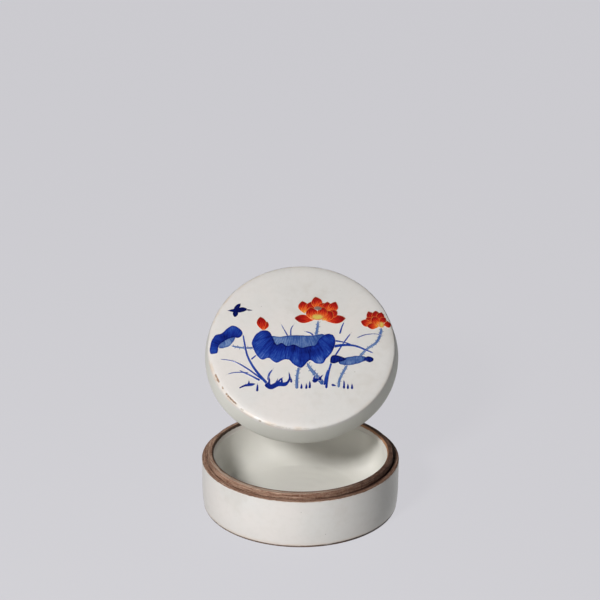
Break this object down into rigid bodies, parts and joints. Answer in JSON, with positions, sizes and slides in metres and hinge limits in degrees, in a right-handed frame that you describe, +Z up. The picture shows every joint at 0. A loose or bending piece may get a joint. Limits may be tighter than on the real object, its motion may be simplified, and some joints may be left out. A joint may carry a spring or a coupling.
{
  "type": "round porcelain trinket box",
  "caption": "Round lidded porcelain box with a stepped brown mouth; its flat lid, painted with lotus leaves, blooms and a bird, is held tilted above the open base.",
  "frame": {"origin": "centre of the base's foot ring, on the surface it stands on", "axes": "+Z up along the base's own axis; -Y faces the viewer, towards whom the lid's top is tilted; +X is the viewer's right"},
  "size_m": [0.1101, 0.1291, 0.1167],
  "materials": {
    "porcelain_glaze": "soft gloss",
    "iron_dressing": "matt, brushed",
    "foot_biscuit": "matt",
    "cobalt_dark": "gloss",
    "cobalt_pale": "gloss",
    "iron_red_enamel": "gloss",
    "yellow_enamel": "gloss",
    "grey_enamel": "gloss"
  },
  "bodies": {
    "base": {"base_body": "porcelain_glaze", "base_rim_band": "iron_dressing", "base_foot_ring": "foot_biscuit"},
    "lid": {"lid_body": "porcelain_glaze", "lid_mouth_band": "iron_dressing", "painted_main_leaf": "cobalt_dark", "painted_left_leaf": "cobalt_dark", "painted_right_leaf": "cobalt_dark", "painted_leaf_linings": "cobalt_pale", "painted_large_bloom": "iron_red_enamel", "painted_small_bloom": "iron_red_enamel", "painted_bud": "iron_red_enamel", "painted_bloom_hearts": "yellow_enamel", "painted_seed_pod": "grey_enamel", "painted_stems": "cobalt_pale", "painted_reeds": "cobalt_dark", "painted_water_grass": "cobalt_dark", "painted_bird": "cobalt_dark"}
  },
  "joints": [
    {"name": "lid_swing", "type": "hinge", "parent": "base", "child": "lid", "pos_m": [-0.00066, -0.04718, 0.0988], "axis": [0.9999, -0.014, 0], "range_deg": [-37.7, 45]}
  ]
}
